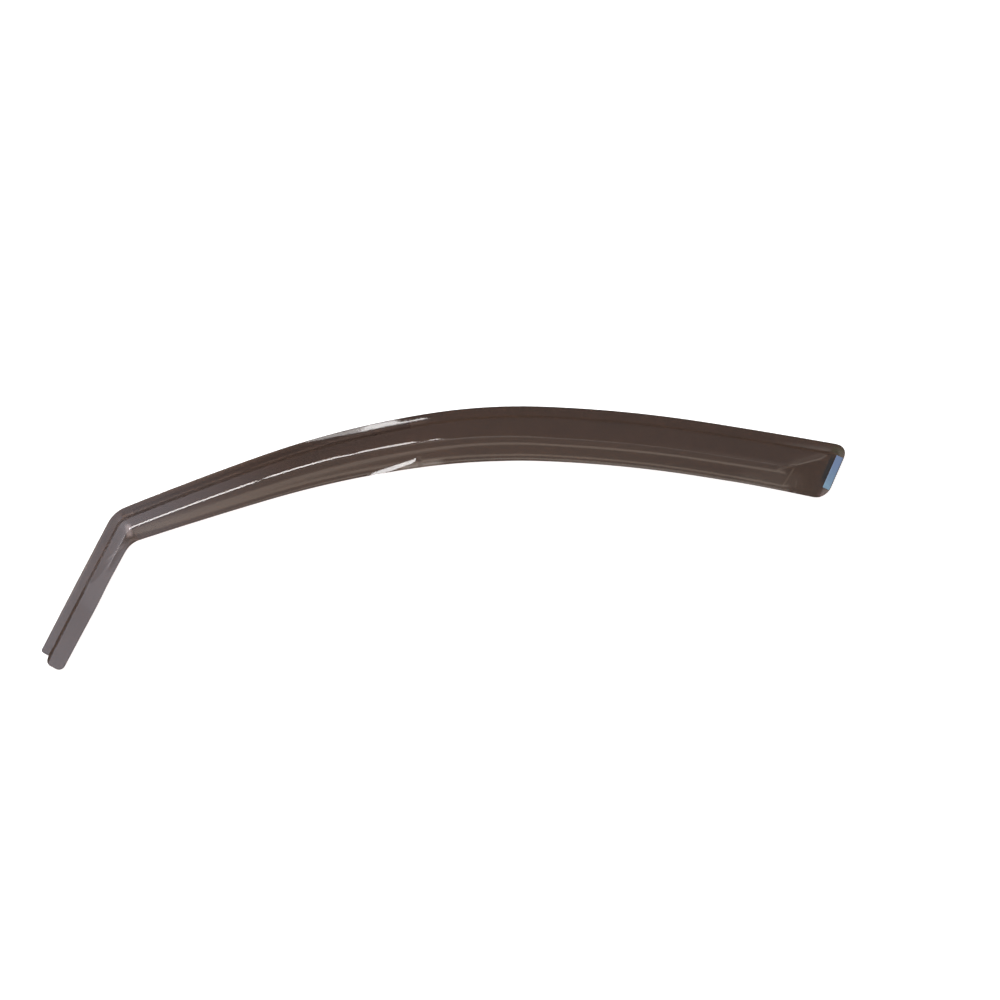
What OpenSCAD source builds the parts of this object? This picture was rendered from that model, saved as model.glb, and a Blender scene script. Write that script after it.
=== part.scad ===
// Rain deflector for the front side window of a car.
// One strip of smoked acrylic, heat formed over a mould: a thin flange slides into the window
// channel along the outer edge, a joggle steps off it, and a shield stands clear of the glass.
// A slim arm runs down the front of the window, and a pad of tape holds the wide rear end.
// It lies on its hollow side, with the outer face up, the rear end towards +X and the roof side
// towards +Y. The origin is under the middle of its bounding box, on the surface it lies on.

/* [Sheet] */
// Thickness of the acrylic sheet
sheet_t = 3; // [2:0.5:5]
// Width of the flange that slides into the window channel
flange_w = 10; // [7:0.5:13]
// Height of the joggle between the flange and the shield
joggle_h = 3.5; // [2:0.5:6]
// Width over which the joggle rises
joggle_w = 4.5; // [3:0.5:7]

/* [Arm] */
// Length of the arm's flange, from its end to the bend
arm_len = 160; // [130:5:240]
// Angle of the arm to the length of the deflector
arm_angle = 62.4; // [50:0.2:75]
// Width of the arm at its end
arm_end_w = 31.5; // [27:0.5:40]
// Width of the arm where it meets the bend
arm_root_w = 34; // [28:0.5:44]
// How far the shield reaches past the end of the flange
tip_reach = 9; // [4:0.5:14]
// Corner radius at the end of the arm's shield
tip_r = 7; // [3:0.5:9]
// Corner radius at the end of the arm's flange
flange_tip_r = 2.5; // [1:0.5:5]

/* [Bend] */
// Radius of the outer edge in the bend
bend_r = 37; // [25:1:60]
// Angle through which the bend turns
bend_turn = 40.5; // [25:0.5:55]
// Radius of the free edge in the bend
bend_inner_r = 30; // [24:1:45]

/* [Arch] */
// Length of the outer edge from the bend to the foot of the rise
front_len = 158; // [100:2:240]
// Radius of the outer edge along that length
front_r = 3870; // [1500:10:9000]
// Length of the rise
rise_len = 195; // [120:1:280]
// Radius of the rise
rise_r = 1045; // [700:5:2000]
// Length of the crown
crown_len = 123; // [80:1:180]
// Radius of the crown
crown_r = 644; // [450:2:1200]
// Length of the fall behind the crown
fall_len = 184; // [120:1:260]
// Radius of the fall
fall_r = 1535; // [900:5:3000]
// Length of the last stretch, up to the rear end
rear_len = 158; // [140:1:260]
// Radius of the last stretch
rear_r = 8000; // [2500:50:9000]
// Width of the deflector behind the bend
front_w = 40; // [36:0.5:50]
// Width from the crown on
crown_w = 60.6; // [50:0.2:75]
// Width at the rear end
rear_w = 63; // [50:0.5:80]
// Length behind the bend over which the width grows
widen_len = 430; // [300:5:500]

/* [Rear end] */
// Slant of the rear edge from square
rear_slant = 14.5; // [0:0.5:25]
// Radius of the two rear corners
rear_corner_r = 13; // [6:0.5:16]
// Width of the flange along the rear edge, which carries the tape
rear_flange_w = 9.5; // [9:0.5:18]
// Slope of the shield's rear end
rear_slope = 16; // [10:0.5:30]

/* [Shield] */
// Slope of the panel that rises from the joggle
panel_slope = 30; // [20:0.5:40]
// Rise of the crest above the joggle behind the bend
front_crest = 8.2; // [5:0.2:12]
// Rise of the crest from the crown on
crown_crest = 13.4; // [9:0.2:18]
// Length behind the bend over which the crest rises
crest_growth = 500; // [300:5:560]
// Length of the arm over which the crest dies away
crest_run = 45; // [30:1:70]
// Distance of that stretch from the bend
crest_stay = 37; // [15:1:50]
// Fall of the shield just past the crest
crest_fall = 5; // [0:0.5:10]
// Distance from the crest to the second crease
crease_gap = 9.5; // [5:0.5:14]
// Fall of the shield past the second crease
lip_fall = 13; // [4:0.5:20]
// Height that the free edge rolls out by
edge_roll = 1.2; // [0:0.1:2.5]
// Width of that roll
edge_roll_w = 9; // [5:0.5:12]

/* [Glass] */
// Radius of the window glass from sill to roof
glass_ry = 1500; // [1000:20:4000]
// Radius of the window glass from front to rear
glass_rx = 9000; // [5000:100:30000]

/* [Tape] */
// Length of the tape along the rear edge
tape_len = 39; // [20:1:44]
// Width of the tape
tape_w = 7.8; // [5:0.2:8.2]
// Thickness of the foam
foam_t = 1.1; // [0.5:0.1:2]
// Thickness of the release liner
liner_t = 0.3; // [0.2:0.05:0.5]
// Distance of the tape from the rear edge
tape_inset = 0.8; // [0.5:0.1:1]
// Distance of the tape's middle from the middle of the rear edge, towards the free edge
tape_shift = 2; // [-3:0.5:3]

/* [Hidden] */

// Rounding of the creases, as a height: two faces blend where they lie nearer than this
crest_blend = 1.1;
crease_blend = 0.5;
rear_blend = 1.4;
// Rounding of the offset lines where the arm meets the arch
corner_blend = 3;
// Powers of the laws by which the width and the crest grow
widen_power = 1.35;
crest_power = 1.5;
// Length behind the bend over which the sections turn square to the outer edge
settle_len = 60;
// Length before the rear end over which the sections turn to its slant
slant_len = 120;
// Spacing of the sections in the arm, the bend, the settling length, the arch and the rear end
arm_step = 9;
bend_step = 2.2;
settle_step = 6;
arch_step = 17;
rear_step = 6;
corner_steps = 5;

smoke = [0.29, 0.25, 0.23];
foam_black = [0.08, 0.08, 0.09];
liner_blue = [0.42, 0.56, 0.76];

function unit(a) = [cos(a), sin(a)];
// Direction from the outer edge towards the free edge, square to a heading
function inward(a) = [sin(a), -cos(a)];
function mix(a, b, k) = a + (b - a) * k;
function clamp(x) = max(0, min(1, x));
function ease(x) = let (k = clamp(x)) k * k * (3 - 2 * k);
// The smaller of two heights, rounded over where they lie within k of each other
function soft_min(a, b, k) = min(a, b) - pow(max(0, k - abs(a - b)), 2) / (4 * k);
// Numbers from a up to b in about equal steps, without b
function steps(a, b, step) =
    let (n = b > a ? max(1, round((b - a) / step)) : 0) [for (i = [0:1:n - 1]) mix(a, b, i / n)];
// How far a corner of radius r draws an edge in, at a distance from the end
function corner_cut(gap, r) = let (x = r - max(0, min(r, gap))) r - sqrt(r * r - x * x);
// Distances from an end at which a corner of radius r has its points, without the last
function corner_gaps(r) = [for (i = [0:corner_steps - 1]) r * (1 - cos(90 * i / corner_steps))];
function bezier(p, q, r, t, k) =
    p * pow(1 - k, 3) + q * 3 * k * pow(1 - k, 2) + r * 3 * k * k * (1 - k) + t * pow(k, 3);

// Outer edge, seen from above: the arm, the bend and five arcs, each [length, radius]; 0 is straight
bend_len = bend_r * bend_turn * PI / 180;
legs = [
    [arm_len, 0],
    [bend_len, bend_r],
    [front_len, front_r],
    [rise_len, rise_r],
    [crown_len, crown_r],
    [fall_len, fall_r],
    [rear_len, rear_r],
];
last_leg = len(legs) - 1;
function turned(leg, s) = leg[1] == 0 ? 0 : s / leg[1] * 180 / PI;
// Point and heading at s along a leg that starts at place, which is [point, heading]
function walk(place, leg, s) =
    let (a = turned(leg, s), chord = leg[1] == 0 ? s : 2 * leg[1] * sin(a / 2))
    [place[0] + chord * unit(place[1] - a / 2), place[1] - a];
function leg_start(i) = i == 0 ? [[0, 0], arm_angle] : walk(leg_start(i - 1), legs[i - 1], legs[i - 1][0]);
function leg_sum(i) = i == 0 ? 0 : leg_sum(i - 1) + legs[i - 1][0];
starts = [for (i = [0:last_leg]) leg_start(i)];
sums = [for (i = [0:last_leg]) leg_sum(i)];
arch_at = sums[2];
edge_len = sums[last_leg] + rear_len;
// Point and heading at s along the outer edge, on the legs from first on
function outer(s, first = 0) =
    let (i = max([for (i = [first:last_leg]) i == first || sums[i] <= s ? i : first]))
    walk(starts[i], legs[i], s - sums[i]);

// Free edge, as a place on the outer edge and the width there
function arm_width(s) = mix(arm_end_w, arm_root_w, s / arm_len);
function arch_width(s) =
    let (grown = crown_w - (crown_w - front_w) * pow(1 - clamp((s - arch_at) / widen_len), widen_power))
    mix(grown, rear_w, ease(1 - (edge_len - s) / slant_len));
function arm_free(s) = outer(0)[0] + s * unit(arm_angle) + arm_width(s) * inward(arm_angle);
function arch_free(s) = let (place = outer(s, 2)) place[0] + arch_width(s) * inward(place[1]);

// In the bend a fillet joins the two free edges. Their corner lies square to the outer edge at
// arm_foot and at arch_foot, and the fillet runs from one place to the other past both.
arch_angle = arm_angle - bend_turn;
to_corner = bend_r * tan(bend_turn / 2);
corner = starts[1][0] + to_corner * unit(arm_angle);
arm_foot = arm_len + to_corner - (front_w - arm_root_w * cos(bend_turn)) / sin(bend_turn);
arch_foot = arch_at - to_corner + (arm_root_w - front_w * cos(bend_turn)) / sin(bend_turn);
fillet = bend_inner_r * tan(bend_turn / 2);
fillet_start = arm_foot - fillet;
fillet_end = arch_foot + fillet;
fillet_handle = 4 / 3 * bend_inner_r * tan(bend_turn / 4);
function fillet_free(k) =
    let (
        p = arm_free(fillet_start),
        q = arch_free(fillet_end),
        leave = arm_free(fillet_start + 1) - p,
        arrive = arch_free(fillet_end + 1) - q
    )
    bezier(p, p + fillet_handle * leave, q - fillet_handle * arrive, q, k);
function free(s) =
    s <= fillet_start ? arm_free(s)
    : s >= fillet_end ? arch_free(s)
    : fillet_free((s - fillet_start) / (fillet_end - fillet_start));

// The corner at the arm's end is no larger than the reach past the flange
tip_corner = min(tip_r, tip_reach);

// Each section is a straight line across the strip, from s on the outer edge to its match on the free edge
matches = [
    [-tip_reach, -tip_reach],
    [arm_len, fillet_start],
    [arch_at, fillet_end],
    [arch_at + settle_len, arch_at + settle_len],
    [edge_len - slant_len, edge_len - slant_len],
    [edge_len, edge_len - rear_w * tan(rear_slant)],
];
sections = concat(
    [for (gap = corner_gaps(tip_corner)) gap - tip_reach],
    steps(tip_corner - tip_reach, 0, arm_step),
    corner_gaps(flange_tip_r),
    steps(flange_tip_r, arm_len, arm_step),
    steps(arm_len, arch_at, bend_step),
    steps(arch_at, arch_at + settle_len, settle_step),
    steps(arch_at + settle_len, edge_len - slant_len, arch_step),
    steps(edge_len - slant_len, edge_len - rear_corner_r, rear_step),
    [for (i = [corner_steps:-1:0]) edge_len - rear_corner_r * (1 - cos(90 * i / corner_steps))]
);
last_section = len(sections) - 1;
// First section that has the flange: the shield alone reaches past it
flange_start = search(0, [for (s = sections) s < 0 ? 1 : 0])[0];

// Distance of a point from the line of the rear edge
rear_top = outer(edge_len)[0];
rear_angle = outer(edge_len)[1];
function rear_gap(p) = (rear_top - p) * unit(rear_angle - rear_slant);
// Distance of a point from the outer edge, where part is how far across its section it lies
function edge_gap(p, s, part) =
    let (
        to_arm = (p - corner) * inward(arm_angle),
        to_arch = s < arch_at ? (p - corner) * inward(arch_angle) : part * arch_width(lookup(s, matches))
    )
    soft_min(to_arm, to_arch, corner_blend);

// Rise of the crest at s, and how far it lies from the outer edge
function crest(s) =
    s < arch_at ? front_crest * ease((s - arm_len + crest_stay + crest_run) / crest_run)
    : mix(front_crest, crown_crest, pow(clamp((s - arch_at) / crest_growth), crest_power));
function crest_gap(s) = flange_w + crest(s) / tan(panel_slope);

// Height of the outer face above the flange: the panel, the top behind the crest, the lip behind the
// second crease and the sloping rear end, each a plane, blended where they meet
function lift(s, gap, width, rear) =
    let (
        c = crest(s),
        k = c / crown_crest,
        past = gap - crest_gap(s),
        panel = (gap - flange_w) * tan(panel_slope),
        top = c - past * tan(crest_fall * k),
        lip = c - crease_gap * tan(crest_fall * k) - (past - crease_gap) * tan(lip_fall * k),
        end = (rear - rear_flange_w) * tan(rear_slope),
        roll = edge_roll * k * pow(clamp(1 - (width - gap) / edge_roll_w), 2),
        form = soft_min(soft_min(panel, soft_min(top, lip, crease_blend), crest_blend), end, rear_blend),
        step = ease((gap - flange_w) / joggle_w) * ease((rear - rear_flange_w) / joggle_w)
    )
    step * (joggle_h + form + roll);

// Distances from the outer edge at which a section has its lines, close together at the creases
cells = [2, 4, 3, 3, 3, 1, 3, 2, 4];
flange_cells = cells[0];
function marks(s, from, to) =
    let (
        joggle_end = flange_w + joggle_w,
        room = to - joggle_end,
        crest_u = max(crest_gap(s) - joggle_end, 0.22 * room),
        crest_half = min(2.4, 0.12 * room),
        crease_u = min(crest_u + crease_gap, mix(crest_u, room, 0.6)),
        crease_half = min(2.5, 0.1 * room),
        roll_u = max(room - edge_roll_w, mix(crease_u + crease_half, room, 0.35)),
        ups = [0, crest_u - crest_half, crest_u, crest_u + crest_half, crease_u - crease_half,
            crease_u + crease_half, roll_u, room]
    )
    concat([from, flange_w], [for (u = ups) joggle_end + u]);
function lines(s, from, to) =
    let (m = marks(s, from, to))
    concat([for (i = [0:len(cells) - 1], j = [0:cells[i] - 1]) mix(m[i], m[i + 1], j / cells[i])], [to]);
last_line = len(lines(0, 0, arm_end_w)) - 1;

// Lines of a section, drawn in at the rounded corners
function trimmed(s, from, to, rear_from, rear_to) =
    let (
        tip = s < 0 ? corner_cut(s + tip_reach, tip_corner) : 0,
        flange_tip = s < 0 ? 0 : corner_cut(s, flange_tip_r),
        low = corner_cut(rear_from, rear_corner_r),
        high = corner_cut(rear_to, rear_corner_r),
        all = lines(s, from, to)
    )
    [for (j = [0:last_line]) let (
        a = j < flange_cells ? mix(from + flange_tip, flange_w, (all[j] - from) / (flange_w - from))
            : mix(flange_w + tip, to - tip, (all[j] - flange_w) / (to - flange_w))
    ) mix(from + low, to - high, (a - from) / (to - from))];

// Points of the outer face, each [point seen from above, lift]
function section(s) =
    let (
        a = outer(s)[0],
        b = free(lookup(s, matches)),
        from = edge_gap(a, s, 0),
        to = edge_gap(b, s, 1)
    )
    [for (gap = trimmed(s, from, to, rear_gap(a), rear_gap(b))) let (
        part = (gap - from) / (to - from),
        p = mix(a, b, part)
    ) [p, lift(s, edge_gap(p, s, part), to, rear_gap(p))]];
grid = [for (s = sections) section(s)];
function in_use(k, j) = k >= flange_start || j >= flange_cells;
plan = [for (k = [0:last_section], j = [0:last_line]) if (in_use(k, j)) grid[k][j][0]];
function low(axis) = min([for (p = plan) p[axis]]);
function high(axis) = max([for (p = plan) p[axis]]);
middle = [low(0) + high(0), low(1) + high(1)] / 2;

// The flange follows the window glass, so on a flat surface it stands on the arm's end, the rear
// corner and one place on the arch
function dome(p) = let (q = p - middle) -q[0] * q[0] / (2 * glass_rx) - q[1] * q[1] / (2 * glass_ry);
front_foot = outer(0)[0];
rear_foot = outer(edge_len - rear_corner_r)[0];
chord = rear_foot - front_foot;
function above_chord(p) = (p - front_foot) * [-chord[1], chord[0]] / norm(chord);
function over_chord(p) =
    dome(p) - mix(dome(front_foot), dome(rear_foot), (p - front_foot) * chord / (chord * chord));
arch_feet = [for (s = steps(arch_at, edge_len - slant_len, arch_step)) outer(s)[0]];
lean = min([for (p = arch_feet) over_chord(p) / above_chord(p)]);
function rest(p) = over_chord(p) - lean * above_chord(p);
lowest = min([for (p = plan) rest(p)]);
// Height of the glass under a point of the plan
function glass(p) = rest(p) - lowest;

module deflector_shell() {
    function at(k, j) = k * (last_line + 1) + j;
    count = (last_section + 1) * (last_line + 1);
    function points(t) = [for (row = grid, n = row) [n[0][0] - middle[0], n[0][1] - middle[1], glass(n[0]) + n[1] + t]];
    used = [for (k = [0:last_section - 1], j = [0:last_line - 1]) if (in_use(k, j)) [k, j]];
    // Nodes round the rim, with the notch where the flange ends
    rim = concat(
        [for (k = [flange_start:last_section]) at(k, 0)],
        [for (j = [1:last_line]) at(last_section, j)],
        [for (k = [last_section - 1:-1:0]) at(k, last_line)],
        [for (j = [last_line - 1:-1:flange_cells]) at(0, j)],
        [for (k = [1:flange_start]) at(k, flange_cells)],
        [for (j = [flange_cells - 1:-1:1]) at(flange_start, j)]
    );
    faces = concat(
        [for (c = used) let (a = at(c[0], c[1]), b = at(c[0] + 1, c[1])) each [[a, b, b + 1], [a, b + 1, a + 1]]],
        [for (c = used) let (a = at(c[0], c[1]) + count, b = at(c[0] + 1, c[1]) + count)
            each [[b + 1, b, a], [a + 1, b + 1, a]]],
        [for (i = [0:len(rim) - 1]) let (a = rim[i], b = rim[(i + 1) % len(rim)])
            each [[b, a, a + count], [b, a + count, b + count]]]
    );
    color(smoke) polyhedron(concat(points(sheet_t), points(0)), faces, convexity = 6);
}

// Places its children on the rear flange, with X along the rear edge and Z off the outer face
module on_rear_flange() {
    along = unit(rear_angle - rear_slant - 90);
    across = unit(rear_angle - rear_slant);
    edge_middle = rear_top + along * (rear_w / cos(rear_slant) / 2 + tape_shift);
    p = edge_middle - across * (tape_inset + tape_w / 2);
    rise_x = (glass(p + along) - glass(p - along)) / 2;
    rise_y = (glass(p + across) - glass(p - across)) / 2;
    x = [along[0], along[1], rise_x] / norm([1, rise_x]);
    z_raw = cross(x, [across[0], across[1], rise_y]);
    z = z_raw / norm(z_raw);
    y = cross(z, x);
    spot = [p[0] - middle[0], p[1] - middle[1], glass(p) + sheet_t];
    multmatrix([
        [x[0], y[0], z[0], spot[0]],
        [x[1], y[1], z[1], spot[1]],
        [x[2], y[2], z[2], spot[2]],
        [0, 0, 0, 1],
    ]) children();
}

module tape_foam() {
    color(foam_black) on_rear_flange()
        translate([-tape_len / 2, -tape_w / 2, 0]) cube([tape_len, tape_w, foam_t]);
}

module tape_liner() {
    color(liner_blue) on_rear_flange()
        translate([-tape_len / 2, -tape_w / 2, foam_t]) cube([tape_len, tape_w, liner_t]);
}

deflector_shell();
tape_foam();
tape_liner();
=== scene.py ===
# %% [markdown]
# # A window rain deflector in smoked acrylic
# The deflector is a strip of brown-smoked acrylic that keeps rain out of an open car window. It is
# cut from flat sheet, warmed and formed over a mould: a thin flange slides into the window channel,
# a joggle steps off it, and a shield stands clear of the glass. A pad of tape holds the wide rear
# end. The CAD model fixes every place and size. This lesson dresses it: we refine the formed sheet,
# finish the tape, mix the materials and light the strip as a studio would.

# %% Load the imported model
import math

import bmesh
import bpy
from mathutils import Matrix, Vector


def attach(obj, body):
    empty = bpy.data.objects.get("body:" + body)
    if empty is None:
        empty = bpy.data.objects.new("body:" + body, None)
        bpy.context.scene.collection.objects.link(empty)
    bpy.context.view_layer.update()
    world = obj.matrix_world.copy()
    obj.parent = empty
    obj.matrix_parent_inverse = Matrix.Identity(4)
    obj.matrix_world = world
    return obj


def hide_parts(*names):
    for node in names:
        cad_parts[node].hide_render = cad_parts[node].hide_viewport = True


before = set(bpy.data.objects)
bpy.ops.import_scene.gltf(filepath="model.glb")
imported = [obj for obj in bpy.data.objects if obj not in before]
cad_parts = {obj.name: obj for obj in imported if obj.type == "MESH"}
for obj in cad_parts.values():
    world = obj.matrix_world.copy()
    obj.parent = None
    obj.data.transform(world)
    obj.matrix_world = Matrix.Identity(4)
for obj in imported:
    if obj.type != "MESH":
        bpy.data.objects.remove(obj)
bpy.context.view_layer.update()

# %% [markdown]
# ## Small helpers
# Each piece starts in a bmesh, Blender's mesh workbench, and ends as an object that rides on the
# CAD body. Two helpers cover that, so the later cells can speak about the piece alone.

# %% Start from a CAD solid, and finish a piece
MM = 0.001


def solid_of(node):
    """A bmesh of a CAD solid with its loose triangles merged into one closed skin."""
    bm = bmesh.new()
    bm.from_mesh(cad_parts[node].data)
    bmesh.ops.remove_doubles(bm, verts=bm.verts, dist=0.001 * MM)
    return bm


def finish_piece(bm, name, node, slot, *materials):
    """Turns a bmesh into a smooth piece that stands for a CAD node and rides with it."""
    mesh = bpy.data.meshes.new(name)
    for face in bm.faces:
        face.smooth = True
    bm.to_mesh(mesh)
    bm.free()
    piece = bpy.data.objects.new(name, mesh)
    bpy.context.scene.collection.objects.link(piece)
    for material in materials:
        mesh.materials.append(material)
    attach(piece, "root")
    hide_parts(node)
    print(name, "has", len(mesh.polygons), "faces and", len(mesh.vertices), "points")
    return piece


# %% [markdown]
# Materials are built from nodes. A helper that adds a node, sets its sockets by name and links
# whatever is itself a socket keeps each recipe short enough to read as a recipe.

# %% Add shader nodes
def node(tree, kind, settings=None, **sockets):
    """Adds a node. An underscore in a socket's name is a space, and A0 is the socket numbered 0."""
    made = tree.nodes.new(kind)
    for key, value in (settings or {}).items():
        setattr(made, key, value)
    for key, value in sockets.items():
        socket = made.inputs[int(key[1:]) if key[1:].isdigit() else key.replace("_", " ")]
        if isinstance(value, bpy.types.NodeSocket):
            tree.links.new(value, socket)
        else:
            socket.default_value = value
    return made


def new_material(name):
    """An empty node material and its tree."""
    material = bpy.data.materials.new(name)
    material.use_nodes = True
    material.node_tree.nodes.clear()
    return material, material.node_tree


def ramp(tree, value, *stops):
    """Turns a value into a colour or a grey by (place, colour) stops."""
    made = node(tree, "ShaderNodeValToRGB", Fac=value)
    colours = made.color_ramp.elements
    while len(colours) < len(stops):
        colours.new(0.5)
    for element, (place, colour) in zip(colours, stops):
        element.position = place
        element.color = (*colour, 1) if hasattr(colour, "__len__") else (colour, colour, colour, 1)
    return made.outputs["Color"]


def pattern(tree, kind, scale, stretch=(1, 1, 1), turn=0.0, settings=None, **sockets):
    """A texture in object coordinates, in cells to the metre, stretched and turned about Z."""
    place = node(tree, "ShaderNodeTexCoord").outputs["Object"]
    laid = node(tree, "ShaderNodeMapping", Vector=place, Rotation=(0, 0, turn), Scale=stretch)
    return node(tree, kind, settings, Vector=laid.outputs["Vector"], Scale=scale, **sockets)


# %% [markdown]
# ## The smoked acrylic
# Cast acrylic is clear plastic with dye through its whole thickness. Light that passes through it
# comes out brown, and its skin mirrors the studio like glass does. A painted surface would miss
# both, so the shader is a clear one, tinted, with a refractive index of 1.49. Lamps reach what lies
# behind through a plain tinted window, because rays from a lamp can't find their way through
# refraction. Forming leaves slow waves in the skin, and handling leaves faint wipe marks and
# specks.

# %% Write down the tints
SMOKE = (0.110, 0.076, 0.060)
SMOKE_WARM = (0.130, 0.086, 0.064)
print("tints of the sheet:", SMOKE, SMOKE_WARM)

# %% [markdown]
# The tint isn't the same all over: light and shade are painted into it in soft patches. The lighter
# patches and streaks at the bend, past the ripple and on the hip by the rear end are painted
# highlights and reflections. The darker band beside the tape is painted shade, and the red and
# olive at its two corners is painted light that comes through the thin corners. Each such patch
# lies along a line, so a mapping node turns and stretches the coordinates to that line, and a soft
# mask is made of the two numbers that come out.

# %% Lay soft patches along lines
# Patches of painted light and shade: painted highlights, reflections and light through thin
# corners, and painted shade beside the tape.
LIGHT_AND_SHADE_PATCHES = (  # start, end, width in millimetres, tint
    ((0.4175, 0.0630, 0), (0.4280, 0.0880, 0), 5.0, (0.060, 0.058, 0.060)),  # beside the tape
    ((0.4130, 0.0450, 0), (0.4240, 0.0505, 0), 8.0, (0.170, 0.108, 0.094)),  # corner, free edge
    ((0.4290, 0.0990, 0), (0.4400, 0.0935, 0), 8.0, (0.115, 0.098, 0.062)),  # corner, roof side
    ((-0.3456, 0.0142, 0), (-0.3434, 0.0021, 0), 6.0, (0.400, 0.340, 0.325)),  # bend, crest's start
    ((-0.3676, -0.0243, 0), (-0.3500, -0.0078, 0), 2.6, (0.175, 0.140, 0.125)),  # bend, inner side
    ((-0.0470, 0.0765, 0), (-0.0030, 0.0815, 0), 9.0, (0.290, 0.245, 0.215)),  # past the ripple
    ((0.3265, 0.0648, 0), (0.3903, 0.0626, 0), 16.0, (0.145, 0.107, 0.086)),  # hip, all over
    ((0.3661, 0.0752, 0), (0.3892, 0.0813, 0), 2.9, (0.165, 0.124, 0.100)),  # hip, second crease
    ((0.3831, 0.0752, 0), (0.3727, 0.0582, 0), 2.2, (0.185, 0.140, 0.108)),  # hip, long streak
    ((0.3873, 0.0626, 0), (0.3856, 0.0555, 0), 1.8, (0.165, 0.124, 0.098)),  # hip, short streak
)


def beside(tree, start, end, width):
    """Coordinates along a line: X runs from 0 to 1 along it, and Y is 1 one width to its left."""
    run = Vector(end) - Vector(start)
    place = node(tree, "ShaderNodeTexCoord").outputs["Object"]
    laid = node(
        tree, "ShaderNodeMapping", {"vector_type": "TEXTURE"}, Vector=place, Location=start,
        Rotation=(0, 0, math.atan2(run.y, run.x)), Scale=(run.length, width, 1),
    )
    return node(tree, "ShaderNodeSeparateXYZ", Vector=laid.outputs["Vector"]).outputs


def fade(tree, value, start, full):
    """0 at the start and 1 at the full value, with soft ends."""
    soft = {"interpolation_type": "SMOOTHSTEP"}
    faded = node(tree, "ShaderNodeMapRange", soft, Value=value, From_Min=start, From_Max=full)
    return faded.outputs["Result"]


def product(tree, *values):
    """The product of a few sockets or numbers."""
    times = {"operation": "MULTIPLY"}
    total = values[0]
    for value in values[1:]:
        total = node(tree, "ShaderNodeMath", times, A0=total, A1=value).outputs["Value"]
    return total


def paint_light_and_shade(tree, tint, start, end, width, colour):
    """Paints light and shade into the tint: a soft patch of another colour along a line."""
    laid = beside(tree, start, end, width * MM)
    light_and_shade_patch = product(
        tree, fade(tree, laid["X"], -0.20, 0.15), fade(tree, laid["X"], 1.20, 0.85),
        fade(tree, laid["Y"], -0.80, -0.20), fade(tree, laid["Y"], 0.80, 0.20),
    )
    mixed = node(tree, "ShaderNodeMixRGB", Fac=light_and_shade_patch, Color1=tint, Color2=(*colour, 1))
    return mixed.outputs["Color"]


print("patches of another tint:", len(LIGHT_AND_SHADE_PATCHES))

# %% [markdown]
# By the free edge, just before the crown, the sheet crept a little as it was warmed, and left a low
# step that runs aslant to the edge. It is far too low to show in the outline, but it turns the
# mirrored softbox into a short bright streak, so a bump in the shader is enough for it.
#
# The polished skin, the cut rim and the fold of the joggle share one recipe. The rim is rougher,
# because a saw made it. The fold gets a darker tint, which is painted shade in the crease of the
# joggle.

# %% Mix the acrylic
RIPPLE_START, RIPPLE_END = (-0.0893, 0.0648, 0), (-0.026, 0.0870, 0)
RIPPLE_WIDTH = 6.0 * MM
RIPPLE_HEIGHT = 1.7 * MM
SPECK_ROUGHNESS = 0.04


def ripple(tree):
    """The height of the low step by the free edge, from 0 to 1."""
    laid = beside(tree, RIPPLE_START, RIPPLE_END, RIPPLE_WIDTH)
    ends = fade(tree, laid["X"], 0.0, 0.35), fade(tree, laid["X"], 1.04, 0.92)
    return product(tree, *ends, fade(tree, laid["Y"], 0.5, -0.5))


def acrylic(name, rough_low, rough_high, waves, rippled=False, shade=1.0):
    """Smoked acrylic with painted light and shade. Waves: forming marks in mm; shade: painted
    darker tint.
    """
    material, tree = new_material(name)
    clouds = pattern(tree, "ShaderNodeTexNoise", 14, (0.35, 1, 1), 0.2, Detail=2.0).outputs["Fac"]
    cool, warm = ([c * shade for c in dye] for dye in (SMOKE, SMOKE_WARM))
    tint = ramp(tree, clouds, (0.35, cool), (0.7, warm))
    # Painted highlights, reflections and shade, laid into the tint patch by patch.
    for light_and_shade_patch in LIGHT_AND_SHADE_PATCHES:
        tint = paint_light_and_shade(tree, tint, *light_and_shade_patch)
    wipes = pattern(tree, "ShaderNodeTexNoise", 240, (0.06, 1, 1), 0.5, Detail=5.0, Roughness=0.65)
    specks = pattern(tree, "ShaderNodeTexNoise", 900, Detail=1.0)
    speck = ramp(tree, specks.outputs["Fac"], (0.70, 0.0), (0.78, 1.0))
    wiped = node(
        tree, "ShaderNodeMapRange",
        Value=wipes.outputs["Fac"], To_Min=rough_low, To_Max=rough_high,
    )
    rough = node(
        tree, "ShaderNodeMath", {"operation": "MULTIPLY_ADD"},
        A0=speck, A1=SPECK_ROUGHNESS, A2=wiped.outputs["Result"],
    )
    slow = pattern(tree, "ShaderNodeTexNoise", 22, (0.4, 1, 1), 0.3, Detail=1.0).outputs["Fac"]
    skin = node(tree, "ShaderNodeBump", Height=slow, Distance=waves * MM, Strength=1.0)
    if rippled:
        skin = node(
            tree, "ShaderNodeBump", Height=ripple(tree), Distance=RIPPLE_HEIGHT, Strength=1.0,
            Normal=skin.outputs["Normal"],
        )
    surface = node(
        tree, "ShaderNodeBsdfPrincipled",
        Base_Color=tint, Roughness=rough.outputs["Value"], Normal=skin.outputs["Normal"],
        IOR=1.49, Transmission_Weight=1.0, Specular_IOR_Level=1.0,
    )
    window = node(tree, "ShaderNodeBsdfTransparent", Color=(*(c ** 0.5 for c in SMOKE), 1))
    lamp_ray = node(tree, "ShaderNodeLightPath").outputs["Is Shadow Ray"]
    mixed = node(
        tree, "ShaderNodeMixShader",
        A0=lamp_ray, A1=surface.outputs["BSDF"], A2=window.outputs["BSDF"],
    )
    node(tree, "ShaderNodeOutputMaterial", Surface=mixed.outputs["Shader"])
    return material


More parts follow.
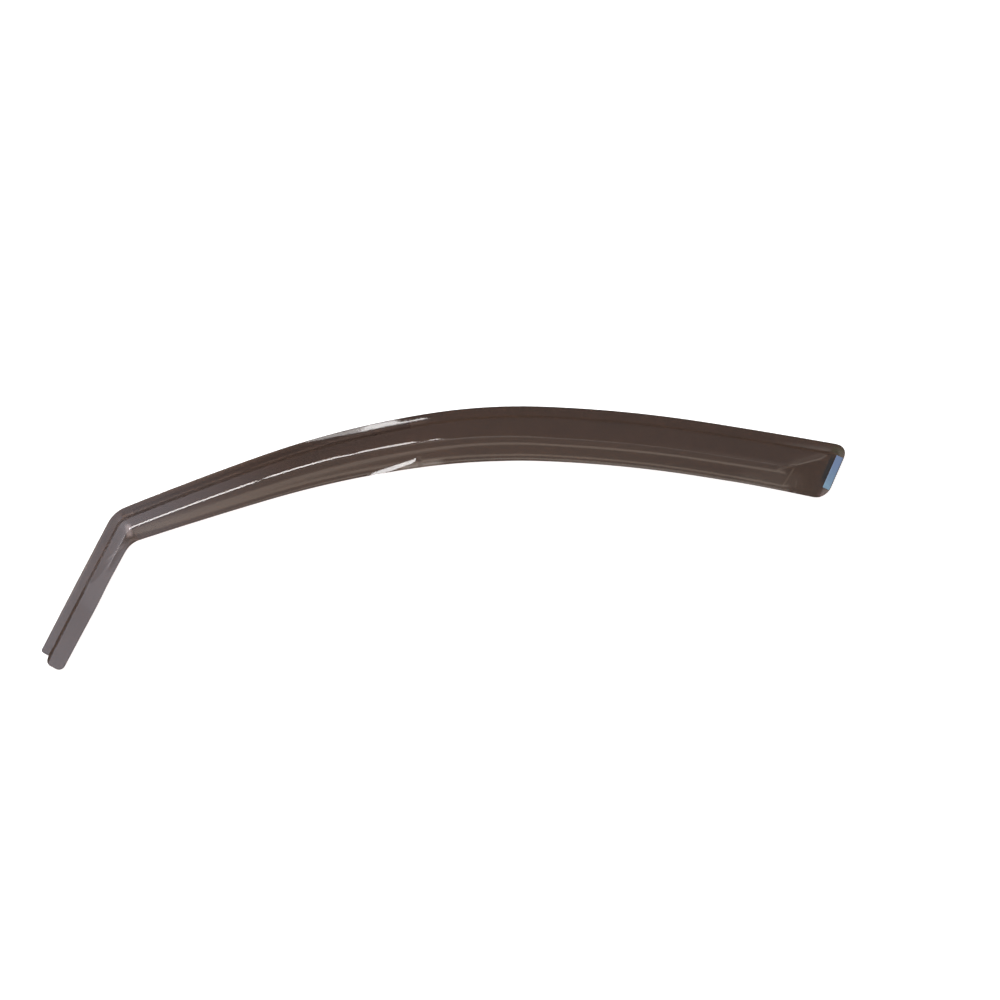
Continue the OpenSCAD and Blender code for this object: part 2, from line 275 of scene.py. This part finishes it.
polished = acrylic("brown_acrylic", 0.015, 0.055, 0.05, rippled=True)
sawn = acrylic("brown_acrylic_cut_edge", 0.22, 0.34, 0.02)
# The fold's darker tint is painted shade in the crease of the joggle.
fold_shade = acrylic("brown_acrylic_fold_shade", 0.015, 0.055, 0.05, shade=0.65)
print("materials:", polished.name, sawn.name, fold_shade.name)

# %% [markdown]
# ## The formed sheet
# The CAD shell is made of triangles whose facets would show as kinks in every reflection. We could
# rebuild the strip from its sizes, but the shape is already there, and two models of one sheet
# drift apart. So we take a merged copy, join its triangles into squares that run with the strip,
# break the sharp cut edge as a file does, and let a subdivision surface smooth the rest.

# %% Join the triangles into squares
shell = solid_of("deflector_shell")
EDGE_TURN = math.radians(50)
for edge in shell.edges:
    edge.smooth = edge.calc_face_angle(0) < EDGE_TURN
bmesh.ops.join_triangles(
    shell, faces=shell.faces, cmp_sharp=True, topology_influence=2.0,
    angle_face_threshold=math.radians(40), angle_shape_threshold=math.radians(80),
)
corners = [len(face.verts) for face in shell.faces]
print("squares:", corners.count(4), "left as triangles:", corners.count(3))

# %% [markdown]
# The mould's step is crisp on the outer face, and the sheet keeps its full thickness over it, so
# the riser stands steep: it mirrors the dark flange below and reads as a dark line. The CAD mesh
# has four short cells there, eased in and out. Walking over the cells from the foot gives each
# point its place in the step, and the first three can be put on one straight rise up to the panel.

# %% Walk over the mesh in a straight line
def onward(vert, edge):
    """The edge that goes straight on at a point where four squares meet."""
    return next((e for e in vert.link_edges if not set(e.link_faces) & set(edge.link_faces)), None)


def walk(vert, edge, steps):
    """The points met when going straight on from a point and the edge that led to it."""
    met = []
    for _ in range(steps):
        edge = onward(vert, edge)
        if edge is None:
            return []
        vert = edge.other_vert(vert)
        met.append(vert)
    return met


def spread(a, b):
    """Distance of two points as seen from above."""
    return (a.co.xy - b.co.xy).length


# %% Find the foot of the joggle
LEVEL = 0.975
FOOT_TURN = math.radians(12)


def level(face):
    """Whether a face lies level, with its outer side up."""
    return face.normal.z > LEVEL


def at_foot(edge):
    """Whether the sheet turns upwards at an edge, from the level flange to the riser."""
    sides = [level(face) for face in edge.link_faces]
    upper = all(face.normal.z > 0.3 for face in edge.link_faces)
    return edge.calc_face_angle_signed(0) < -FOOT_TURN and upper and any(sides) and not all(sides)


foot = [edge for edge in shell.edges if at_foot(edge)]
print("edges at the foot of the joggle:", len(foot))

# %% Stand the joggle's riser up
LONGEST_RISER = 7 * MM
riser = shell.verts.layers.int.new("riser")
heights = {}
for start in {v for edge in foot for v in edge.verts}:
    start[riser] = 1
    others = [e for e in start.link_edges if e not in foot]
    behind = next((e for e in others if all(level(face) for face in e.link_faces)), None)
    met = walk(start, behind, 5) if behind else []
    if met and spread(start, met[3]) < LONGEST_RISER:
        rise = (met[4].co.z - met[3].co.z) / spread(met[4], met[3])
        top = met[3].co.z - rise * spread(met[3], met[2])
        for v in met[:3]:
            heights[v] = start.co.z + (top - start.co.z) * spread(v, start) / spread(met[2], start)
        met[2][riser] = 2
lift = max(z - v.co.z for v, z in heights.items())
print("riser moved by up to", round(lift * 1000, 2), "mm at", len(heights), "points")
for v, z in heights.items():
    v.co.z = max(z, v.co.z)

# %% [markdown]
# The saw leaves a square edge all round the sheet. On the mesh the rim's faces are small and lie
# between two sharp lines, so they are found by their sharp edges and get the duller cut-edge
# material. Along the front of the arch, the riser and the strip of flange at its foot are the fold,
# which gets painted shade: the acrylic with a darker tint.

# %% Share out the three materials
RIM_FACE = 60 * MM * MM
# Where along X the fold's painted shade reaches.
FOLD_START, FOLD_END = -0.34, -0.04
SKIN, RIM, SHADED_FOLD = 0, 1, 2


def kind_of(face):
    """Which of the three materials a face gets."""
    if sum(not edge.smooth for edge in face.edges) >= 2 and face.calc_area() < RIM_FACE:
        return RIM
    at_riser = all(v in heights or v[riser] == 1 for v in face.verts)
    by_foot = level(face) and sum(v[riser] == 1 for v in face.verts) >= 2
    in_reach = FOLD_START < face.calc_center_median().x < FOLD_END
    return SHADED_FOLD if in_reach and (at_riser or by_foot) else SKIN


for face in shell.faces:
    face.material_index = kind_of(face)
shares = [face.material_index for face in shell.faces]
print("faces of the skin, rim and fold:", [shares.count(kind) for kind in (SKIN, RIM, SHADED_FOLD)])

# %% [markdown]
# The saw's heat also lets the outer half of the flange droop by a tenth of a millimetre towards the
# rim on the roof side. Nobody could measure that by eye, but a mirror shows it: the glint of a low
# lamp lies on the outer half of the flange alone.

# %% Let the outer rim droop
ROOFWARD = Vector((-0.5, 0.87, 0))
DROOP = 0.12 * MM
drooped = {
    v for face in shell.faces if face.material_index == RIM and face.normal.dot(ROOFWARD) > 0.3
    for v in face.verts if v.co.z > face.calc_center_median().z
}
bmesh.ops.translate(shell, verts=list(drooped), vec=(0, 0, -DROOP))
print("rim points drooped:", len(drooped))

# %% [markdown]
# A scraper takes the two corners off the cut edge, which a bevel on its sharp lines does here.
# Before the surface is smoothed, the two lines of the riser get a crease of 1, which keeps them in
# place, and a sharp mark, which keeps the shading apart on both sides.

# %% Break the cut edge and keep the riser crisp
SCRAPED = 0.5 * MM
sharp = [edge for edge in shell.edges if not edge.smooth]
bmesh.ops.bevel(
    shell, geom=sharp, offset=SCRAPED, offset_type="OFFSET", affect="EDGES", segments=2,
    profile=0.5, material=-1, clamp_overlap=True,
)
crease = shell.edges.layers.float.new("crease_edge")
kept = [edge for edge in shell.edges if edge.verts[0][riser] == edge.verts[1][riser] != 0]
for edge in kept:
    edge.smooth = False
    edge[crease] = 1.0
body = finish_piece(
    shell, "deflector_body", "deflector_shell", "smoked_acrylic", polished, sawn, fold_shade,
)
smooth = body.modifiers.new("smooth the formed sheet", "SUBSURF")
smooth.levels = smooth.render_levels = 1
print("rim lines bevelled:", len(sharp), "and riser lines kept crisp:", len(kept))

# %% [markdown]
# ## The tape on the rear flange
# A pad of black foam tape sits along the rear edge, and its blue release film is still on. Both are
# plain blocks in the CAD model, lying aslant on the flange. To work on them we need their own axes,
# and the block itself gives them: its longest edge, its shortest edge and the square to both.

# %% Find a block's own axes
def along_edge(edge):
    """The direction of an edge, of length 1."""
    return (edge.verts[1].co - edge.verts[0].co).normalized()


def axes_of(bm):
    """A turn from a block's own frame (long X, thick Z, middle at 0) to the row's, and its size."""
    edges = sorted(bm.edges, key=lambda e: e.calc_length())
    z = along_edge(edges[0])
    z = z if z.z > 0 else -z
    lying = [e for e in edges if abs(along_edge(e).dot(z)) < 0.01]
    lengths = sorted({round(e.calc_length(), 6) for e in lying})
    long_side = lengths[1 if len(lengths) > 2 else -1]  # longer yet is the triangles' diagonal
    x = along_edge(next(e for e in lying if abs(e.calc_length() - long_side) < 1e-6))
    x = x if x.y > 0 else -x
    middle = sum((v.co for v in bm.verts), Vector()) / len(bm.verts)
    turn = Matrix((x, z.cross(x), z)).transposed().to_4x4()
    turn.translation = middle
    local = [turn.inverted() @ v.co for v in bm.verts]
    size = [max(p[i] for p in local) - min(p[i] for p in local) for i in range(3)]
    return turn, size


# %% [markdown]
# Foam tape is slit from a wide roll and snipped to length, so it is a slab with crisp edges and
# slightly rounded corners. We turn the CAD block into its own frame, round its four upright edges
# and then its rim, and cut it across at many stations, so that it can be bent a little afterwards.

# %% Make a slab from a CAD block
def upright(edge, thickness):
    """Whether an edge of a slab runs through its thickness."""
    return abs(edge.verts[0].co.z - edge.verts[1].co.z) > thickness / 2


def slab_of(node_name, corner, rim, stations):
    """A CAD block in its own frame, rounded and cut across for bending, and its turn and size."""
    bm = solid_of(node_name)
    turn, size = axes_of(bm)
    bmesh.ops.transform(bm, matrix=turn.inverted(), verts=bm.verts)
    bmesh.ops.dissolve_limit(bm, angle_limit=0.01, verts=bm.verts, edges=bm.edges)
    for stands, offset, rounds in ((True, corner, 5), (False, rim, 2)):
        crisp = [edge for edge in bm.edges if edge.calc_face_angle(0) > 1]
        picked = [edge for edge in crisp if upright(edge, size[2]) == stands]
        bmesh.ops.bevel(
            bm, geom=picked, offset=offset, affect="EDGES", segments=rounds, profile=0.5,
            material=-1, clamp_overlap=True,
        )
    for axis, count in ((0, stations[0]), (1, stations[1])):
        for i in range(1, count):
            normal = Vector((axis == 0, axis == 1, 0))
            bmesh.ops.bisect_plane(
                bm, geom=[*bm.verts, *bm.edges, *bm.faces], dist=1e-7,
                plane_co=normal * size[axis] * (i / count - 0.5), plane_no=normal,
            )
    print(node_name, "in its own frame, mm:", [round(s * 1000, 2) for s in size])
    return bm, turn, size


# %% [markdown]
# Closed-cell foam is a mat of small black bubbles. The cut sides show them opened, so a cell
# pattern of about a third of a millimetre dents the surface, and nothing on it shines.

# %% Mix the foam
def foam():
    """Matt black foam with opened cells."""
    material, tree = new_material("black_foam")
    cells = pattern(tree, "ShaderNodeTexVoronoi", 3200).outputs["Distance"]
    shade = ramp(tree, cells, (0.1, (0.006, 0.006, 0.008)), (0.75, (0.030, 0.030, 0.034)))
    dents = node(tree, "ShaderNodeBump", Height=cells, Distance=0.12 * MM, Strength=0.9)
    surface = node(
        tree, "ShaderNodeBsdfPrincipled",
        Base_Color=shade, Normal=dents.outputs["Normal"], Roughness=0.92,
    )
    node(tree, "ShaderNodeOutputMaterial", Surface=surface.outputs["BSDF"])
    return material


# %% Cut the foam pad
pad, pad_turn, pad_size = slab_of("tape_foam", 0.5 * MM, 0.08 * MM, (26, 5))
for v in pad.verts:
    waist = 1 - abs(2 * v.co.z / pad_size[2])
    v.co.y *= 1 - 0.03 * waist * (1.2 + math.sin(v.co.x * 2100))
bmesh.ops.transform(pad, matrix=pad_turn, verts=pad.verts)
finish_piece(pad, "tape_pad", "tape_foam", "foam_tape", foam())

# %% [markdown]
# The release film is a thin blue plastic strip. It is embossed with fine crossed lines so that it
# peels easily. A painted light drifts its colour from violet-blue at the roof end to a paler blue
# at the other. The film hasn't stuck down flat everywhere, so it gets waves a few hundredths of a
# millimetre high.

# %% Mix the film
def film(turn):
    """Satin blue release film, embossed with fine crossed lines that run with the strip."""
    material, tree = new_material("blue_release_film")
    lean = math.atan2(turn[1][0], turn[0][0])
    place = node(tree, "ShaderNodeTexCoord").outputs["Object"]
    laid = node(
        tree, "ShaderNodeMapping", {"vector_type": "TEXTURE"},
        Vector=place, Location=turn.translation, Rotation=(0, 0, lean),
    ).outputs["Vector"]
    along = node(tree, "ShaderNodeSeparateXYZ", Vector=laid).outputs["X"]
    # Painted light: the colour drifts along the strip.
    light_drift = node(tree, "ShaderNodeMapRange", Value=along, From_Min=-0.02, From_Max=0.02)
    mottle = node(tree, "ShaderNodeTexNoise", Vector=laid, Scale=420, Detail=3.0).outputs["Fac"]
    blend = node(
        tree, "ShaderNodeMath", {"operation": "MULTIPLY_ADD"},
        A0=mottle, A1=0.5, A2=light_drift.outputs["Result"],
    )
    shade = ramp(
        tree, blend.outputs["Value"],
        (0.15, (0.186, 0.320, 0.412)), (0.60, (0.144, 0.223, 0.334)),
        (1.0, (0.130, 0.186, 0.315)),
    )
    lines = []
    for slant in (0.785, -0.785):
        turned = node(tree, "ShaderNodeMapping", Vector=laid, Rotation=(0, 0, slant)).outputs
        wave = node(tree, "ShaderNodeTexWave", Vector=turned["Vector"], Scale=260, Distortion=0.0)
        lines.append(wave.outputs["Fac"])
    emboss = product(tree, *lines)
    relief = node(tree, "ShaderNodeBump", Height=emboss, Distance=0.05 * MM, Strength=0.6)
    gloss = node(tree, "ShaderNodeMapRange", Value=mottle, To_Min=0.28, To_Max=0.5)
    surface = node(
        tree, "ShaderNodeBsdfPrincipled",
        Base_Color=shade, Roughness=gloss.outputs["Result"], Normal=relief.outputs["Normal"],
        Coat_Weight=0.25, Coat_Roughness=0.2,
    )
    node(tree, "ShaderNodeOutputMaterial", Surface=surface.outputs["BSDF"])
    return material


# %% Lay the film
strip, strip_turn, _ = slab_of("tape_liner", 0.5 * MM, 0.06 * MM, (40, 6))
for v in strip.verts:
    v.co.z += 0.035 * MM * (math.sin(v.co.x * 900 + 1) * math.cos(v.co.y * 500) - 1)
bmesh.ops.transform(strip, matrix=strip_turn, verts=strip.verts)
finish_piece(strip, "tape_film", "tape_liner", "release_film", film(strip_turn))

# %% [markdown]
# ## The studio
# The strip lies on a white table and is seen from straight above. The table is one wide disc of
# pale paint that the lamps light and that keeps the strip's soft shadow. To that, it adds a little
# light of its own for chosen rays: enough to be plain white to the eye, and less to rays that have
# come through the sheet, which sets how deep the brown looks. A mirror sees a plain, dimmer table.
# Cycles also calls a ray glossy that has passed through clear plastic, so those are taken off
# again.

# %% Lay the table
TABLE_GLOW = 0.84
TABLE_THROUGH = 0.29
TABLE_MIRRORED = 0.22


def table_white():
    """A pale table that reads as white, and keeps the object's shadow."""
    material, tree = new_material("white_table")
    rays = node(tree, "ShaderNodeLightPath").outputs
    through = product(tree, rays["Is Transmission Ray"], TABLE_THROUGH)
    shown = node(
        tree, "ShaderNodeMath", {"operation": "MULTIPLY_ADD"},
        A0=rays["Is Camera Ray"], A1=TABLE_GLOW, A2=through,
    )
    paint = node(tree, "ShaderNodeBsdfDiffuse", Color=(0.72, 0.72, 0.72, 1))
    glow = node(tree, "ShaderNodeEmission", Color=(1, 1, 1, 1), Strength=shown.outputs["Value"])
    both = node(tree, "ShaderNodeAddShader", A0=paint.outputs["BSDF"], A1=glow.outputs["Emission"])
    mirrored = node(tree, "ShaderNodeEmission", Color=(1, 1, 1, 1), Strength=TABLE_MIRRORED)
    bounced = node(
        tree, "ShaderNodeMath", {"operation": "SUBTRACT", "use_clamp": True},
        A0=rays["Is Glossy Ray"], A1=rays["Is Transmission Ray"],
    )
    seen = node(
        tree, "ShaderNodeMixShader",
        A0=bounced.outputs["Value"], A1=both.outputs["Shader"], A2=mirrored.outputs["Emission"],
    )
    node(tree, "ShaderNodeOutputMaterial", Surface=seen.outputs["Shader"])
    return material


table = bmesh.new()
bmesh.ops.create_circle(table, cap_ends=True, radius=12, segments=96)
table_mesh = bpy.data.meshes.new("table")
table.to_mesh(table_mesh)
table.free()
table_mesh.materials.append(table_white())
table_top = bpy.data.objects.new("table", table_mesh)
bpy.context.scene.collection.objects.link(table_top)
print("table's own light, to the eye and through the sheet:", TABLE_GLOW, TABLE_THROUGH)
print("table in mirrors:", TABLE_MIRRORED)

# %% [markdown]
# Dark glossy plastic in an even white room looks grey and flat. What shows its form is a room that
# is dim, with a few pale places where the faces of the strip look. A face that is seen from above
# and leans by some angle mirrors what lies at twice that angle from straight up. So the room is
# painted by direction, in the world's shader: X, Y and Z are those of a unit arrow towards the
# place. First comes a dim room that is a little paler straight up, where level faces look.

# %% Paint the dim room
world = bpy.data.worlds.new("studio")
bpy.context.scene.world = world
world.use_nodes = True
sky = world.node_tree
sky.nodes.clear()
toward = node(sky, "ShaderNodeTexCoord").outputs["Generated"]
axis = node(sky, "ShaderNodeSeparateXYZ", Vector=toward).outputs
room = ramp(
    sky, axis["Z"], (0.0, 0.16), (0.20, 0.21), (0.33, (0.31, 0.33, 0.37)), (0.70, 0.30),
    (0.955, (0.27, 0.27, 0.30)), (0.985, 0.50),
)
print("room: grey 0.16 at the floor to 0.50 straight up")

# %% [markdown]
# Five pale places are added to it. A cool wall on the front side lifts the arm to grey and fades
# out along the arch. A warm band and a narrow eave overhead draw the second crease and the lip. A
# screen low behind the rear end draws the crest and the slope there, and a slit beside it the
# slope's edge.

# %% Add the pale places
def within(value, *edges):
    """Masks of edges that fade in or out, each given as where it is 0 and where it is 1."""
    return [fade(sky, value, zero, full) for zero, full in edges]


def leaning(first, factor, second):
    """One number for a direction between two axes: the first, plus a factor times the second."""
    add = {"operation": "MULTIPLY_ADD"}
    return node(sky, "ShaderNodeMath", add, A0=second, A1=factor, A2=first).outputs["Value"]


def backdrop(colour, strength):
    """Light of one colour from all round."""
    shed = node(sky, "ShaderNodeBackground", Color=(*colour, 1), Strength=strength)
    return shed.outputs["Background"]


COOL, WARM = (0.85, 0.87, 1.0), (1.0, 0.86, 0.72)
IVORY, CREAM, WHITE = (1.0, 0.97, 0.90), (1.0, 0.95, 0.9), (1, 1, 1)
frontward = leaning(axis["X"], 0.3, axis["Y"])
roofward = leaning(axis["Y"], -0.3, axis["X"])
wall = product(
    sky, *within(frontward, (-0.08, -0.37)), *within(axis["X"], (-0.98, -0.83)),
    *within(axis["Z"], (-0.02, 0.10)), 3.0,
)
band = product(
    sky, *within(axis["Y"], (-0.12, -0.07), (0.04, -0.02)), *within(axis["X"], (-0.27, -0.18)),
    *within(axis["Z"], (0.90, 0.96)), 1.35,
)
eave = product(
    sky, *within(roofward, (0.235, 0.19)), *within(axis["Y"], (0.11, 0.15)),
    *within(axis["Z"], (0.90, 0.96)), 1.5,
)
screen = product(
    sky, *within(axis["X"], (0.12, 0.24), (0.62, 0.45)),
    *within(axis["Y"], (0.35, 0.50), (0.92, 0.80)), *within(axis["Z"], (0.36, 0.48)), 0.4,
)
slit = product(
    sky, *within(axis["X"], (0.47, 0.53), (0.65, 0.60)),
    *within(axis["Y"], (0.24, 0.31), (0.47, 0.39)), 1.5,
)
places = ((wall, COOL), (band, WARM), (eave, IVORY), (screen, CREAM), (slit, CREAM))
studio = node(sky, "ShaderNodeBackground", Color=room, Strength=1.0).outputs["Background"]
for strength, colour in places:
    place = backdrop(colour, strength)
    studio = node(sky, "ShaderNodeAddShader", A0=studio, A1=place).outputs["Shader"]
print("pale places in the room:", len(places))

# %% [markdown]
# Only mirrors and clear plastic see this room. Matt surfaces are lit by a plain grey one, so that
# their colours come out as they are written, and the eye sees plain white round the table.

# %% Show each kind of ray its room
PLAIN_LIGHT = 0.35
plain = backdrop(WHITE, PLAIN_LIGHT)
white = backdrop(WHITE, 1.0)
rays = node(sky, "ShaderNodeLightPath").outputs
clear = node(
    sky, "ShaderNodeMath", {"operation": "MAXIMUM"},
    A0=rays["Is Glossy Ray"], A1=rays["Is Transmission Ray"],
).outputs["Value"]
lit = node(sky, "ShaderNodeMixShader", A0=clear, A1=plain, A2=studio).outputs["Shader"]
shown = node(sky, "ShaderNodeMixShader", A0=rays["Is Camera Ray"], A1=lit, A2=white)
node(sky, "ShaderNodeOutputWorld", Surface=shown.outputs["Shader"])
print("plain light for matt surfaces:", PLAIN_LIGHT)

# %% [markdown]
# A tall softbox leans over the table on the roof side. The rounded crest mirrors a slice of it
# along the whole front of the arch as one white line, and the joints of its panels leave the short
# gaps in that line. Each panel is turned a little, so that its side edges meet the crest square.
# Three small panels hang below it, just out of the level flange's sight. The outer half of the
# flange, which droops, catches them as a thin glint that starts dim, grows and ends in a point. A
# small dim lamp on the far side of the bend keeps the arm's foot from going flat.

# %% Hang the lamps
def lamp(name, middle, turn, width, depth, glow):
    """A flat lamp with an even glow that faces down along its own Z."""
    light = bpy.data.lights.new(name, "AREA")
    light.shape = "RECTANGLE"
    light.size, light.size_y = width, depth
    light.energy = glow * math.pi * width * depth
    made = bpy.data.objects.new(name, light)
    made.matrix_world = Matrix.Translation(middle) @ turn
    made.visible_camera = False
    bpy.context.scene.collection.objects.link(made)
    print(name, "at", [round(c, 2) for c in middle], "glows", glow)
    return made


SOFTBOX_GLOW = 16
LEAN = math.radians(33)
REACH = 2.4
PANELS = (  # name, front and rear edge in X, turn in degrees, lower and upper edge, share of glow
    ("softbox_front", -1.600, -0.936, 17.2, -0.46, 0.80, 1.0),
    ("softbox_middle", -0.877, -0.520, 17.2, -0.10, 1.10, 1.0),
    ("softbox_narrow", -0.560, -0.334, 7.5, -0.30, 0.80, 1.0),
    ("softbox_rear", -0.289, -0.245, 6.0, -0.20, 0.40, 1.0),
    ("softbox_sill", -0.562, -0.430, 22.0, -0.547, -0.445, 1.0),
    ("softbox_sill_tip", -0.422, -0.349, 22.0, -0.505, -0.473, 1.0),
    ("softbox_sill_end", -0.520, -0.352, 0.0, -0.531, -0.445, 0.4),
)
square = Matrix.Rotation(-LEAN, 4, "X")
for name, front, rear, turned, lower, upper, share in PANELS:
    base = Vector(((front + rear) / 2, REACH * math.sin(LEAN), REACH * math.cos(LEAN)))
    turn = square @ Matrix.Rotation(math.radians(turned), 4, "Z")
    along = turn @ Vector((0, 1, 0))
    hung = base + along * (lower + upper) / 2
    lamp(name, hung, turn, rear - front, upper - lower, SOFTBOX_GLOW * share)

BEND_LAMP = Vector((-1.56, 0.55, 2.03))
aimed = BEND_LAMP.to_track_quat("Z", "Y").to_matrix().to_4x4()
lamp("bend_lamp", BEND_LAMP, aimed, 0.40, 0.30, 5)

# %% [markdown]
# ## The camera
# The photograph looks straight down on the strip from far away. The camera hangs 2.6 m above the
# table, and its lens is chosen so that the picture is 1.1 m wide at the height of the strip's
# middle.

# %% Hang the camera
EYE = Vector((0.0625, 0.0417, 2.6))
PICTURE_WIDTH = 1.1
STRIP_HEIGHT = 0.008
eye = bpy.data.cameras.new("camera")
eye.sensor_width = 36
eye.lens = eye.sensor_width * (EYE.z - STRIP_HEIGHT) / PICTURE_WIDTH
camera = bpy.data.objects.new("camera", eye)
camera.location = EYE
bpy.context.scene.collection.objects.link(camera)
bpy.context.scene.camera = camera
bpy.context.scene.view_settings.view_transform = "Standard"
print("lens, mm:", round(eye.lens, 1))
